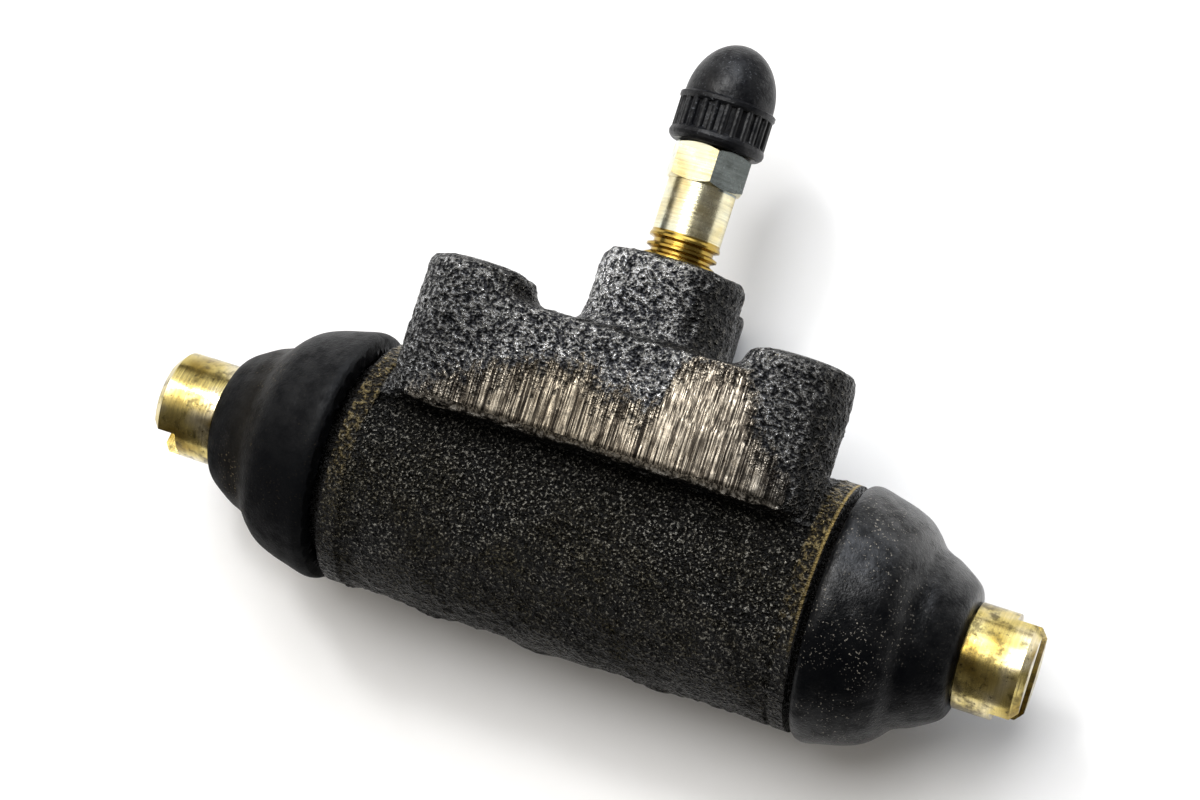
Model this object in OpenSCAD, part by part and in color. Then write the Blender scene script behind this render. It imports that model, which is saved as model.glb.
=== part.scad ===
// Drum brake wheel cylinder with two opposed pistons, dust boots and a bleed screw.
// X runs along the bore, +Y is the side that bolts to the backing plate, +Z is up.
// Each piece is drawn about the middle of the bore, and the finished part is set down with its origin
// midway between the two mounting threads, on the mounting faces.

/* [Barrel] */
// Diameter of the bore that the pistons run in
bore_d = 17.46; // [15.5:0.02:18.5]
// Outside diameter of the cast barrel
barrel_d = 27.4; // [26.6:0.1:29]
// Length of the barrel between its two end shoulders
barrel_len = 53.2; // [51:0.2:58]
// Diameter of the turned collar beside each shoulder
collar_d = 27.1; // [26.2:0.1:27.3]
// Width of each turned collar
collar_w = 2.2; // [1:0.1:2.4]
// Length of the spigot beyond the shoulder
spigot_len = 4.6; // [4.2:0.1:5.2]
// Depth of the boot groove in the spigot
groove_depth = 0.9; // [0.6:0.1:1.2]
// Width of the boot groove
groove_w = 2.6; // [2.4:0.1:2.8]
// Distance of the boot groove from the shoulder
groove_in = 0.9; // [0.7:0.05:1.1]

/* [Mounting block] */
// Length of the block along the bore
block_len = 48.8; // [46:0.2:50]
// Width of the block, and diameter of its round ends
block_w = 12.8; // [11.6:0.1:13.6]
// Height of the block's middle over the middle of the bore
pad_z = 8.2; // [7.6:0.1:8.8]
// Height of the block's lower ledge above the bore axis
ledge_y = 7.8; // [6.5:0.1:9]
// Height of the web between the two ears
web_y = 21.4; // [20:0.1:22.4]
// Height of the mounting faces above the bore axis
mount_y = 24.2; // [23:0.1:26]
// Radius of the cast edge round each ear
ear_round = 1.6; // [0.8:0.1:2]
// Radius of the cast edge along the web
web_round = 1.2; // [0.5:0.1:2]
// Radius of the cast fillets at the feet of the ears and bosses
foot_fillet = 1.4; // [0.6:0.1:1.8]
// Height above the bore axis where the casting draft begins
draft_y = 13.5; // [10:0.1:16]
// Draft of the upper flanks
draft_deg = 3; // [1:0.5:5]
// Hole diameter of the mounting threads
bolt_hole_d = 5; // [4:0.1:6]
// Depth of the mounting threads
bolt_depth = 10; // [7:0.1:11]

/* [Ports] */
// Height of the bleed boss above the bore axis
bleed_boss_y = 30.4; // [29:0.1:31]
// Diameter of the bleed boss at its foot
bleed_boss_d = 17.6; // [16.4:0.1:18]
// Diameter of the bleed boss at its top
bleed_boss_top_d = 16.4; // [14.5:0.1:16.4]
// Height of the bleed port's axis over the middle of the bore
bleed_z = 3.1; // [2.6:0.1:4]
// Distance of both ports from the middle of the bore's length
port_x = 0.6; // [0:0.1:1.2]
// Height of the inlet boss above the bore axis
inlet_boss_y = 28; // [26:0.1:29]
// Diameter of the inlet boss at its foot
inlet_boss_d = 13.2; // [12.6:0.1:13.8]
// Depth of the inlet port's axis under the middle of the bore
inlet_drop = 8.4; // [8:0.1:9]
// Hole diameter of the inlet thread
inlet_hole_d = 9; // [8:0.1:9.4]
// Depth of the inlet thread
inlet_depth = 9.5; // [7:0.1:11]
// Diameter of the spot face that seats the pipe's nut
spot_d = 11.4; // [10.6:0.1:11.8]
// Diameter of the drilled ways into the bore
drill_d = 2.4; // [1.6:0.1:3]
// Radius of the cast edge round each boss
boss_round = 1.3; // [0.5:0.1:1.6]

/* [Bleed screw] */
// Diameter of the bleed screw's thread
screw_d = 7.84; // [7:0.02:8]
// Height of the hexagon's foot above the bore axis
hex_y = 38.9; // [37:0.1:41]
// Width across the flats of the hexagon
hex_af = 8; // [7.8:0.05:9]
// Height of the hexagon
hex_h = 4.1; // [3:0.1:5]
// Turn of the hexagon about the screw
hex_turn = 51; // [0:1:59]
// Height of the seat cone's tip above the bore axis
seat_y = 14.6; // [13.6:0.1:16]
// Diameter of the plain shank over the thread
shank_d = 7.56; // [6.6:0.02:7.6]
// Diameter of the hose nipple's barb
barb_d = 5.8; // [5:0.1:6.4]
// Diameter of the hose nipple's neck
neck_d = 4.6; // [3.8:0.1:4.9]
// Pitch of the bleed screw's two showing threads
ring_pitch = 1.1; // [0.9:0.05:1.25]
// Height of the cross way over the seat cone
way_over = 1.6; // [1.3:0.1:2.4]
// Length of the hose nipple
nipple_len = 8.4; // [7:0.1:9]
// Diameter of the way through the bleed screw
screw_way_d = 2; // [1.2:0.1:2.6]

/* [Bleed cap] */
// Outside diameter of the cap's dome
cap_d = 9.8; // [9.2:0.1:10.4]
// Outside diameter of the cap's collar and rolled rim
cap_rim_d = 10.6; // [10.4:0.1:11.4]
// Height of the cap from rim to crown
cap_h = 11.6; // [11:0.1:13]
// Height of the ribbed band over the rim
cap_band_h = 4.4; // [3.6:0.1:5]
// Number of ribs round the band
cap_ribs = 24; // [18:1:28]

/* [Pistons] */
// Diameter of the piston's outer end
tip_d = 11.5; // [10.6:0.1:12.4]
// Length of the piston's full diameter
head_len = 12; // [10:0.1:13]
// Distance of the right piston's end from the middle of the bore
right_tip_x = 49.2; // [48:0.1:51]
// Further reach of the left piston
left_reach = 1.5; // [0:0.1:2]
// Length of the piston from its inner face to its slotted end
piston_len = 35.2; // [34:0.1:36.5]
// Width of the slot for the brake shoe's web
slot_w = 5.5; // [4.6:0.1:6.2]
// Depth of the slot
slot_depth = 2.9; // [2:0.1:4]
// Chamfer at the slotted end
tip_chamfer = 0.8; // [0.3:0.1:1.2]
// Turn of the left piston's slot about the bore
left_slot_turn = 23; // [0:1:45]
// Radial clearance of the pistons in the bore
run_clear = 0.04; // [0.02:0.01:0.08]

/* [Boots] */
// Largest diameter of the boots
boot_d = 28.1; // [27.6:0.1:28.6]
// Wall of the boots
boot_wall = 1.3; // [1:0.05:1.5]
// Thickness of the boots' rim where it grips the spigot
rim_t = 1.95; // [1.7:0.05:2.2]
// Gap between the shoulder and the right boot's rim
right_rim_gap = 0.5; // [0.3:0.1:1]
// Gap between the shoulder and the left boot's rim
left_rim_gap = 1.4; // [0.5:0.1:1.6]
// Width of the neck lip in the piston's groove
lip_w = 1.3; // [0.8:0.1:1.6]
// Thickness of the neck lip round the groove
lip_t = 1.5; // [1:0.05:1.8]

/* [Seals and spring] */
// Length of the cup seals
cup_len = 5.2; // [4.4:0.1:6]
// Thickness of the cup seals' back
cup_back = 2.2; // [1.6:0.1:2.8]
// Thickness of the cup seals' lip round the expander
cup_lip = 2.9; // [2.4:0.1:3.2]
// Sheet thickness of the cup expanders
expander_t = 0.6; // [0.4:0.05:0.8]
// Outside diameter of the return spring
spring_d = 9.4; // [8:0.1:10]
// Wire diameter of the return spring
wire_d = 0.9; // [0.6:0.05:1.2]
// Number of turns of the return spring
spring_turns = 6; // [4:0.5:8]

/* [Hidden] */
$fn = 64;

// Taper of the inlet boss, on the diameter
boss_draft = 0.8;
// Depth of the spot face, and of the countersinks at the threads
spot_in = 0.4;
sink = 0.5;
drill_tip_d = 0.4;
// Height of a drill's point as a share of its diameter
point_share = 0.3;
// Clearances between neighbours
seat_gap = 0.1;
bead_clear = 0.06;
thread_clear = 0.05;
// How far a cutting tool runs past the face it opens
past = 1;
// Steps in a quarter round and in one stretch of a moulded curve
round_steps = 6;
curve_steps = 5;

shoulder_x = barrel_len / 2;
spigot_x = shoulder_x + spigot_len;
ear_r = block_w / 2;
ear_x = block_len / 2 - ear_r;
spigot_d = boot_d - 2 * rim_t;
groove_d = spigot_d - 2 * groove_depth;
bead_w = groove_w / 2;

// Piston stations, measured inwards from the slotted end
lip_at = 8.8;
lip_groove_d = tip_d - 1.2;
lip_groove_w = lip_w + 0.5;
right_end = right_tip_x;
left_end = right_tip_x + left_reach;
cup_gap = seat_gap;
expander_r = bore_d / 2 - cup_lip;
hub_r = spring_d / 2 - wire_d - 0.2;
hub_len = 1.6;

screw_tip_d = drill_d + 0.8;
thread_root_d = screw_d - 1.2;
hex_top = hex_y + hex_h;
cap_y = hex_top + seat_gap;
dome_r = cap_d / 2;
collar_h = 0.9;
rim_h = 1.5;
barb_len = 2.6;

// Points on a quarter round or other arc
function arc(cx, cy, r, from, to) =
    [for (i = [0:round_steps]) let (a = from + (to - from) * i / round_steps) [cx + r * cos(a), cy + r * sin(a)]];

// A point between b and c on the smooth curve through a, b, c and d
function blend_point(a, b, c, d, t) =
    0.5 * (2 * b + (c - a) * t + (2 * a - 5 * b + 4 * c - d) * t * t + (3 * b - a - 3 * c + d) * t * t * t);

// Points along the smooth curve through all the given stations
function curve(p) =
    [for (i = [0:len(p) - 2], k = [0:curve_steps - 1])
        blend_point(p[max(i - 1, 0)], p[i], p[i + 1], p[min(i + 2, len(p) - 1)], k / curve_steps),
     p[len(p) - 1]];

// Turns a shape drawn along Z to lie along +X
module along_x() {
    rotate([0, 90, 0]) children();
}

// Turns a shape drawn along Z to stand along +Y
module along_y() {
    rotate([-90, 0, 0]) children();
}

// A solid of revolution about X from points given as [x, radius]
module turned(points) {
    rotate([0, 90, 0]) rotate_extrude() polygon([for (p = points) [p[1], p[0]]]);
}

// A rod along X
module rod_x(x0, x1, d) {
    translate([x0, 0, 0]) along_x() cylinder(d = d, h = x1 - x0);
}

// A rod along Y at a port's place
module rod_y(x, z, y0, y1, d) {
    translate([x, y0, z]) along_y() cylinder(d = d, h = y1 - y0);
}

// A cone along Y at a port's place
module cone_y(x, z, y0, y1, d0, d1) {
    translate([x, y0, z]) along_y() cylinder(d1 = d0, d2 = d1, h = y1 - y0);
}

// A cast boss along Y with a rounded upper edge
module boss(z, y0, y1, foot_d, top_d) {
    top_r = top_d / 2;
    translate([port_x, y0, z]) along_y() rotate_extrude() polygon(concat(
        [[0, 0], [foot_d / 2, 0]],
        arc(top_r - boss_round, y1 - y0 - boss_round, boss_round, 0, 90),
        [[0, y1 - y0]]));
}

// Radius of a tapered boss at the top of its foot fillet
function boss_r(foot_d, top_d, y1) =
    (foot_d + (top_d - foot_d) * (web_y + foot_fillet - ledge_y) / (y1 - boss_round - ledge_y)) / 2;

// Half the outline of an ear's section, from its middle to its rounded edge
function ear_edge(h) =
    concat([[0, 0], [ear_r, 0]], arc(ear_r - ear_round, h - ear_round, ear_round, 0, 90), [[0, h]]);

// A round ear with a rounded upper edge
module ear(x) {
    translate([x, ledge_y, pad_z]) along_y() rotate_extrude() polygon(ear_edge(mount_y - ledge_y));
}

// The block's section across the bore: straight ground flanks, then draft up to the web
module block_section() {
    half = ear_r;
    lean = (web_y - draft_y) * tan(draft_deg);
    top = half - lean;
    edge = arc(top - web_round, web_y - web_round, web_round, 0, 90);
    flank = concat([[half, ledge_y], [half, draft_y]], edge);
    polygon(concat(flank, [for (i = [len(flank) - 1:-1:0]) [-flank[i][0], flank[i][1]]]));
}

// The web between the ears
module web() {
    translate([0, 0, pad_z]) rotate([0, -90, 0]) linear_extrude(2 * ear_x, center = true) block_section();
}

// A quarter-round fillet between a wall at x = 0 and a floor at y = 0, sunk into both
module fillet_section() {
    polygon(concat([[-past, foot_fillet], [-past, -past], [foot_fillet, -past]],
        arc(foot_fillet, foot_fillet, foot_fillet, 270, 180)));
}

// The fillet round the foot of a boss or of an ear's round end
module foot_ring(x, z, r) {
    translate([x, web_y, z]) along_y() rotate_extrude() translate([r, 0]) fillet_section();
}

// The fillets that the mould leaves on top of the web at the feet of the ears and the bleed boss
module foot_fillets() {
    flat = ear_r - (web_y - draft_y) * tan(draft_deg) - web_round;
    intersection() {
        union() {
            foot_ring(port_x, bleed_z, boss_r(bleed_boss_d, bleed_boss_top_d, bleed_boss_y));
            foot_ring(-ear_x, pad_z, ear_r);
            foot_ring(ear_x, pad_z, ear_r);
        }
        translate([-ear_x, web_y - past, pad_z - flat]) cube([2 * ear_x, foot_fillet + past, 2 * flat]);
    }
}

// Outside form of the casting before any machining
module casting() {
    rod_x(-shoulder_x, shoulder_x, barrel_d);
    web();
    ear(-ear_x);
    ear(ear_x);
    boss(bleed_z, ledge_y, bleed_boss_y, bleed_boss_d, bleed_boss_top_d);
    boss(-inlet_drop, ledge_y, inlet_boss_y, inlet_boss_d, inlet_boss_d - boss_draft);
    cone_y(port_x, -inlet_drop, 0, ledge_y, inlet_boss_d / 2, inlet_boss_d);
    foot_fillets();
    rod_x(-spigot_x, spigot_x, spigot_d);
}

// A drilled hole down from y with a drill's point at its foot and a countersunk mouth
module drilled(x, z, y, depth, d) {
    rod_y(x, z, y - depth, y + past, d);
    cone_y(x, z, y - depth - point_share * d, y - depth, drill_tip_d, d);
    cone_y(x, z, y - sink, y, d, d + 2 * sink);
}

// The turned ring that is left proud of a collar or groove, from x0 to x1
module turned_down(x0, x1, d) {
    translate([x0, 0, 0]) along_x() difference() {
        cylinder(d = barrel_d + 4 * past, h = x1 - x0);
        translate([0, 0, -past]) cylinder(d = d, h = x1 - x0 + 2 * past);
    }
}

module cylinder_body() {
    mouth = 0.8;
    spot_y = inlet_boss_y - spot_in;
    seat_top = seat_y + (screw_d - screw_tip_d) / 2;
    color("#3b3a3a") difference() {
        casting();
        rod_x(-spigot_x - past, spigot_x + past, bore_d);
        for (side = [0, 1]) mirror([side, 0, 0]) {
            turned_down(shoulder_x - collar_w, shoulder_x + past / 2, collar_d);
            turned_down(shoulder_x + groove_in, shoulder_x + groove_in + groove_w, groove_d);
            translate([spigot_x - mouth, 0, 0]) along_x()
                cylinder(d1 = bore_d, d2 = bore_d + 2 * mouth, h = mouth + 0.01);
            drilled(ear_x, pad_z, mount_y, bolt_depth, bolt_hole_d);
        }
        rod_y(port_x, bleed_z, 0, bleed_boss_y, drill_d);
        cone_y(port_x, bleed_z, seat_y, seat_top, screw_tip_d, screw_d + 2 * thread_clear);
        rod_y(port_x, bleed_z, seat_top, bleed_boss_y + past, screw_d + 2 * thread_clear);
        rod_y(port_x, -inlet_drop, 0, inlet_boss_y, drill_d);
        rod_y(port_x, -inlet_drop, spot_y, bleed_boss_y + past, spot_d);
        drilled(port_x, -inlet_drop, spot_y, inlet_depth, inlet_hole_d);
    }
}

// A piston with its slotted end at x = 0, pointing along +X
module piston() {
    head_d = bore_d - 2 * run_clear;
    edge = 0.6;
    color("#c9a94e") difference() {
        turned([[-piston_len, 0], [-piston_len, head_d / 2 - edge], [-piston_len + edge, head_d / 2],
                [-piston_len + head_len - edge, head_d / 2], [-piston_len + head_len, head_d / 2 - edge],
                [-piston_len + head_len, tip_d / 2], [-lip_at, tip_d / 2], [-lip_at, lip_groove_d / 2],
                [-lip_at + lip_groove_w, lip_groove_d / 2], [-lip_at + lip_groove_w, tip_d / 2],
                [-tip_chamfer, tip_d / 2], [0, tip_d / 2 - tip_chamfer], [0, 0]]);
        translate([-slot_depth, -tip_d, -slot_w / 2]) cube([slot_depth + past, 2 * tip_d, slot_w]);
    }
}

module right_piston() {
    translate([right_end, 0, 0]) piston();
}

module left_piston() {
    mirror([1, 0, 0]) translate([left_end, 0, 0]) rotate([-left_slot_turn, 0, 0]) piston();
}

// A lip seal whose flat back is at x = 0 and whose lip points inwards
module cup_seal() {
    lip_r = bore_d / 2 - run_clear;
    back_r = lip_r - 0.25;
    hollow_r = expander_r + 0.3;
    color("#26262a") turned([[0, 0], [0, back_r - 0.6], [-0.6, back_r], [-cup_back, back_r],
        [-cup_len, lip_r], [-cup_len, lip_r - 0.9], [-cup_back - 0.4, hollow_r],
        [-cup_back, hollow_r - 0.4], [-cup_back, 0]]);
}

// A stamped dish that spreads the seal's lip and centres the spring on its hub
module cup_expander() {
    skirt = cup_len - cup_back - 0.5;
    color("#8d8f92") turned([[0, hub_r - expander_t], [0, expander_r], [-skirt, expander_r],
        [-skirt, expander_r - expander_t], [-expander_t, expander_r - expander_t], [-expander_t, hub_r],
        [-hub_len, hub_r], [-hub_len, hub_r - expander_t]]);
}

function cup_x(end) = end - piston_len - cup_gap;
function expander_x(end) = cup_x(end) - cup_back - seat_gap;
function spring_x(end) = expander_x(end) - expander_t - seat_gap;

module right_cup_seal() {
    translate([cup_x(right_end), 0, 0]) cup_seal();
}

module left_cup_seal() {
    mirror([1, 0, 0]) translate([cup_x(left_end), 0, 0]) cup_seal();
}

module right_cup_expander() {
    translate([expander_x(right_end), 0, 0]) cup_expander();
}

module left_cup_expander() {
    mirror([1, 0, 0]) translate([expander_x(left_end), 0, 0]) cup_expander();
}

// A round wire swept along the spring's turns
module return_spring() {
    wire_sides = 8;
    turn_steps = 20;
    r = (spring_d - wire_d) / 2;
    x0 = -spring_x(left_end) + wire_d / 2;
    x1 = spring_x(right_end) - wire_d / 2;
    rings = round(spring_turns * turn_steps);
    function ring(i) = let (a = 360 * i / turn_steps, x = x0 + (x1 - x0) * i / rings)
        [for (k = [0:wire_sides - 1]) let (b = 360 * k / wire_sides, rr = r + wire_d / 2 * cos(b))
            [x + wire_d / 2 * sin(b), rr * cos(a), rr * sin(a)]];
    points = [for (i = [0:rings]) each ring(i)];
    walls = [for (i = [0:rings - 1], k = [0:wire_sides - 1]) let (n = (k + 1) % wire_sides)
        each [[i * wire_sides + k, i * wire_sides + n, (i + 1) * wire_sides + k],
              [i * wire_sides + n, (i + 1) * wire_sides + n, (i + 1) * wire_sides + k]]];
    ends = [[for (k = [wire_sides - 1:-1:0]) k], [for (k = [0:wire_sides - 1]) rings * wire_sides + k]];
    color("#a9abad") polyhedron(points, concat(walls, ends));
}

// A dust boot from its rim, a gap away from the shoulder, to its neck lip in the piston's groove.
// Two moulded swells with a waist between them form its outside.
module boot(rim_gap, end) {
    rim_x = shoulder_x + rim_gap;
    lip_x = end - lip_at + lip_groove_w - 0.2;
    reach = lip_x - rim_x;
    rim_r = boot_d / 2;
    lip_r = lip_groove_d / 2 + bead_clear;
    neck_r = lip_r + lip_t;
    step = rim_r - neck_r;
    bead_x = shoulder_x + groove_in + rim_gap - right_rim_gap + bead_clear * 2;
    // Stations as shares of the reach and of the step from neck to rim
    outer = curve([for (s = [[0.02, 0.95], [0.05, 0.99], [0.11, 1], [0.23, 0.94], [0.36, 0.87], [0.48, 0.77],
                             [0.565, 0.63], [0.64, 0.46], [0.70, 0.39], [0.77, 0.335], [0.86, 0.23],
                             [0.94, 0.12], [0.98, 0.02], [1, -0.13]])
                  [rim_x + s[0] * reach, neck_r + s[1] * step]]);
    inner = [for (i = [len(outer) - 1:-1:0]) if (outer[i][0] < lip_x - lip_w - boot_wall / 2 &&
                  outer[i][0] > bead_x + bead_w + boot_wall / 2)
                  [outer[i][0], outer[i][1] - boot_wall]];
    bead_r = groove_d / 2 + bead_clear;
    hollow_r = spigot_d / 2 + bead_clear;
    color("#1d1e21") turned(concat(outer,
        [[lip_x, lip_r + 0.3], [lip_x - 0.3, lip_r], [lip_x - lip_w, lip_r]], inner,
        [[bead_x + bead_w, rim_r - boot_wall], [bead_x + bead_w, bead_r], [bead_x, bead_r], [bead_x, hollow_r],
         [rim_x, hollow_r]]));
}

module right_boot() {
    boot(right_rim_gap, right_end);
}

module left_boot() {
    mirror([1, 0, 0]) boot(left_rim_gap, left_end);
}

module bleed_screw() {
    tip_r = screw_tip_d / 2;
    thread_r = screw_d / 2;
    cone_y0 = seat_y + seat_gap * 1.5;
    cone_y1 = cone_y0 + thread_r - tip_r;
    way_y = cone_y1 + way_over;
    crown = 0.5;
    // Growth of the chamfers' cones over the hexagon's height
    flare = 2 * hex_h * tan(60);
    barb_y = hex_top + nipple_len - barb_len;
    ring_0 = bleed_boss_y + 0.75;
    ring_y = [ring_0, ring_0 + ring_pitch];
    ring_w = 0.75;
    color("#d8c68a") translate([port_x, 0, bleed_z]) difference() {
        union() {
            along_y() rotate_extrude() polygon([[0, cone_y0], [tip_r, cone_y0], [thread_r, cone_y1],
                [thread_r, bleed_boss_y + 0.2], [thread_root_d / 2, bleed_boss_y + 0.5],
                [thread_root_d / 2, ring_y[0]], [thread_r, ring_y[0] + ring_w / 3],
                [thread_r, ring_y[0] + ring_w * 2 / 3], [thread_root_d / 2, ring_y[0] + ring_w],
                [thread_root_d / 2, ring_y[1]], [thread_r, ring_y[1] + ring_w / 3],
                [thread_r, ring_y[1] + ring_w * 2 / 3], [shank_d / 2, ring_y[1] + ring_w],
                [shank_d / 2, hex_y + crown], [neck_d / 2, hex_y + crown],
                [neck_d / 2, barb_y], [barb_d / 2, barb_y + 0.6], [barb_d / 2, barb_y + 1],
                [neck_d / 2 - 0.2, barb_y + barb_len], [0, barb_y + barb_len]]);
            intersection() {
                translate([0, hex_y, 0]) along_y() rotate([0, 0, hex_turn])
                    cylinder(d = hex_af / cos(30), h = hex_h, $fn = 6);
                cone_y(0, 0, hex_y, hex_top, hex_af, hex_af + flare);
                cone_y(0, 0, hex_y, hex_top, hex_af + flare, hex_af);
            }
        }
        rod_y(0, 0, way_y, barb_y + barb_len + past, screw_way_d);
        translate([0, way_y, 0]) rod_x(-screw_d, screw_d, screw_way_d);
    }
}

// A moulded rubber cap: rolled rim, ribbed band, collar and a domed crown over a hollow for the nipple
module bleed_cap() {
    rim_r = cap_rim_d / 2;
    band_r = dome_r - 0.15;
    rib_r = 0.4;
    hollow_d = barb_d + 2 * seat_gap;
    hollow_h = nipple_len + 0.3;
    crown_y = cap_band_h + collar_h;
    dome_steps = 18;
    color("#17181a") translate([port_x, cap_y, bleed_z]) difference() {
        union() {
            rod_y(0, 0, 0, crown_y, 2 * band_r);
            along_y() rotate_extrude() polygon(concat([[0, 0], [rim_r - rim_h / 2, 0]],
                arc(rim_r - rim_h / 2, rim_h / 2, rim_h / 2, -90, 90), [[0, rim_h]]));
            along_y() rotate_extrude() polygon([[0, cap_band_h], [rim_r - 0.2, cap_band_h],
                [rim_r, cap_band_h + 0.25], [rim_r, cap_band_h + collar_h - 0.25],
                [dome_r, cap_band_h + collar_h], [0, cap_band_h + collar_h]]);
            along_y() rotate_extrude() polygon(concat([[0, crown_y]],
                [for (i = [0:dome_steps]) let (a = 90 * i / dome_steps)
                    [dome_r * cos(a), crown_y + (cap_h - crown_y) * sin(a)]]));
            for (i = [0:cap_ribs - 1]) rotate([0, i * 360 / cap_ribs, 0])
                rod_y(band_r, 0, rim_h / 2, cap_band_h + collar_h / 2, 2 * rib_r);
        }
        rod_y(0, 0, -past, hollow_h, hollow_d);
    }
}

// Sets a piece down in the part's own frame
module from_mount() {
    translate([0, -mount_y, -pad_z]) children();
}

from_mount() cylinder_body();
from_mount() left_piston();
from_mount() right_piston();
from_mount() left_cup_seal();
from_mount() right_cup_seal();
from_mount() left_cup_expander();
from_mount() right_cup_expander();
from_mount() return_spring();
from_mount() left_boot();
from_mount() right_boot();
from_mount() bleed_screw();
from_mount() bleed_cap();
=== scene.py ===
"""A used drum brake wheel cylinder: cast iron, zinc plated steel and rubber on white paper."""

import math

import bpy
from mathutils import Matrix, Vector


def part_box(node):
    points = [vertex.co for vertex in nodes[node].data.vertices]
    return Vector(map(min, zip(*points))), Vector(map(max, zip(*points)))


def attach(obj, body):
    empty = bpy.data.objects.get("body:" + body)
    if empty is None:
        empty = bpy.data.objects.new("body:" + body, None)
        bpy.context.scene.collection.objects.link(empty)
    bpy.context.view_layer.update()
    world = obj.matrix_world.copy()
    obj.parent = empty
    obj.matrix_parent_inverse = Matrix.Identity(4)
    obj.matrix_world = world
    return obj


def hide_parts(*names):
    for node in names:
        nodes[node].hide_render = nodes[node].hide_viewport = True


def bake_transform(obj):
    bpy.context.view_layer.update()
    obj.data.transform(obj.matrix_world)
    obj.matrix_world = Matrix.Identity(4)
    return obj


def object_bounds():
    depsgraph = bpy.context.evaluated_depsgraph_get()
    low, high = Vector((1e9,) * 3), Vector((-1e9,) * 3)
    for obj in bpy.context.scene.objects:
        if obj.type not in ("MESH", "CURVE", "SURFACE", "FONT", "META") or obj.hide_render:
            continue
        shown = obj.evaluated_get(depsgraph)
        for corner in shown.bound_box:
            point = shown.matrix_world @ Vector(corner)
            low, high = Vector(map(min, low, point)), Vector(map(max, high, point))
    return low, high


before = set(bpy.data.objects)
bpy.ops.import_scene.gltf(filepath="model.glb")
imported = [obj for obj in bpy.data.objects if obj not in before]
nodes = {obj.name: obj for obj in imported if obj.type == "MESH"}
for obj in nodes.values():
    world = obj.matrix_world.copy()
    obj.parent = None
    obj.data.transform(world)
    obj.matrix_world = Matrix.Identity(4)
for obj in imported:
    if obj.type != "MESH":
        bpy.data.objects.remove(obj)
cad_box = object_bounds()

MM = 0.001

# Places that the finishes follow, taken from the solids
body_low, body_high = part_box("cylinder_body")
right_boot_low, right_boot_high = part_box("right_boot")
left_boot_low, left_boot_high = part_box("left_boot")
spring_low, spring_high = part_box("return_spring")
screw_low, screw_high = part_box("bleed_screw")
cap_low, cap_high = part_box("bleed_cap")
BORE_Y = (right_boot_low.y + right_boot_high.y) / 2
BORE_Z = (right_boot_low.z + right_boot_high.z) / 2
BOOT_R = (right_boot_high.z - right_boot_low.z) / 2
FLANK_Z = body_high.z
SCREW_X = (screw_low.x + screw_high.x) / 2
SCREW_Z = (screw_low.z + screw_high.z) / 2

# Places that no box gives: bore, collars, the block's ledge over the bore axis, inlet, ears, and
# the screw's thread and hexagon
BORE_R = 8.73 * MM
COLLAR_X = 24.4 * MM
LEDGE_UP = 7.8 * MM
INLET_Z = BORE_Z - 8.4 * MM
EAR_X = 18 * MM
THREAD_TOP = 9 * MM
HEX_LOW = 14.5 * MM
HEX_HIGH = 19 * MM

# Drilled holes along Y: place, and the radius that stays clean round them
HOLES = [
    (SCREW_X, SCREW_Z, 4.2 * MM),
    (SCREW_X, INLET_Z, 5.7 * MM),
    (EAR_X, 0.0, 3.2 * MM),
    (-EAR_X, 0.0, 3.2 * MM),
]
# How far the lumps of the cast skin keep off the bore, and how far from a hole they are in full
BORE_MARGIN = 1 * MM
HOLE_FADE = 1.6 * MM

# Upper edge of the ground strip on the front flank: place along the bore and height over its axis,
# in mm, and what ramps along the bore and up the flank span
GROUND_EDGE = [
    (-22, 8.1), (-18.6, 10.6), (-15.9, 11.9), (-13, 13.6), (-7.7, 15.9), (-3, 17), (-0.3, 15.4),
    (4.6, 14.7), (6.2, 15.6), (6.8, 19.5), (8.6, 21.6), (13.8, 22.2), (15.2, 19), (16.6, 15.3),
    (19.8, 12.8), (22.9, 10.4),
]
SPAN_X = 24
SPAN_LOW, SPAN_HIGH = 7, 23
# Depth of the flank that the wheel could reach, where it started over the ledge, and the share of
# the lumps that it left
GROUND_DEPTH = 1 * MM
GROUND_START = 0.9 * MM
GROUND_LUMPS = 0.25
# The way that the casting's front faces, where it is worn by rubbing and painted lighter as painted
# light from the lamps
LIT_AND_RUBBED_SIDE = Vector((-0.28, 0.2, 0.94)).normalized()

# Ridges of flash under the barrel: middle and half length along the bore in mm, half width, height,
# and how far outside the bore they start
FLASH = [(-14.8, 3.2), (-3.2, 3.6), (11.8, 3.4)]
FLASH_HALF_WIDTH = 0.9 * MM
FLASH_HEIGHT = 0.4 * MM
FLASH_START = 2 * MM

# Places along the bore where the pistons are soiled by the boots, and where they are clean
PISTON_SOILED = 40.5 * MM
PISTON_CLEAN = 46 * MM

# A Mix node takes its share on socket 0, numbers on 2 and 3, and colours on 6 and 7, which come out
# blended or multiplied on output 2
BLENDED = {"out": 2, "data_type": "RGBA"}
SHADED = {**BLENDED, "blend_type": "MULTIPLY"}


def linear(code):
    """An sRGB hex colour in linear light, with full opacity."""
    parts = [int(code[i : i + 2], 16) / 255 for i in (1, 3, 5)]
    return [c / 12.92 if c <= 0.04045 else ((c + 0.055) / 1.055) ** 2.4 for c in parts] + [1.0]


def add(tree, kind, sockets=(), out=0, stops=(), **settings):
    """Adds a shader node, sets its options, fills or links its sockets, and gives back one of its
    outputs. Colours are hex codes or plain values."""
    made = tree.nodes.new("ShaderNode" + kind)
    for setting, value in settings.items():
        setattr(made, setting, value)
    for socket, value in dict(sockets).items():
        if isinstance(value, bpy.types.NodeSocket):
            tree.links.new(value, made.inputs[socket])
        else:
            made.inputs[socket].default_value = linear(value) if isinstance(value, str) else value
    for number, (place, colour) in enumerate(stops):
        ramp = made.color_ramp.elements
        stop = ramp[number] if number < 2 else ramp.new(place)
        stop.position = place
        stop.color = linear(colour) if isinstance(colour, str) else colour
    return made.outputs[out]


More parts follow.
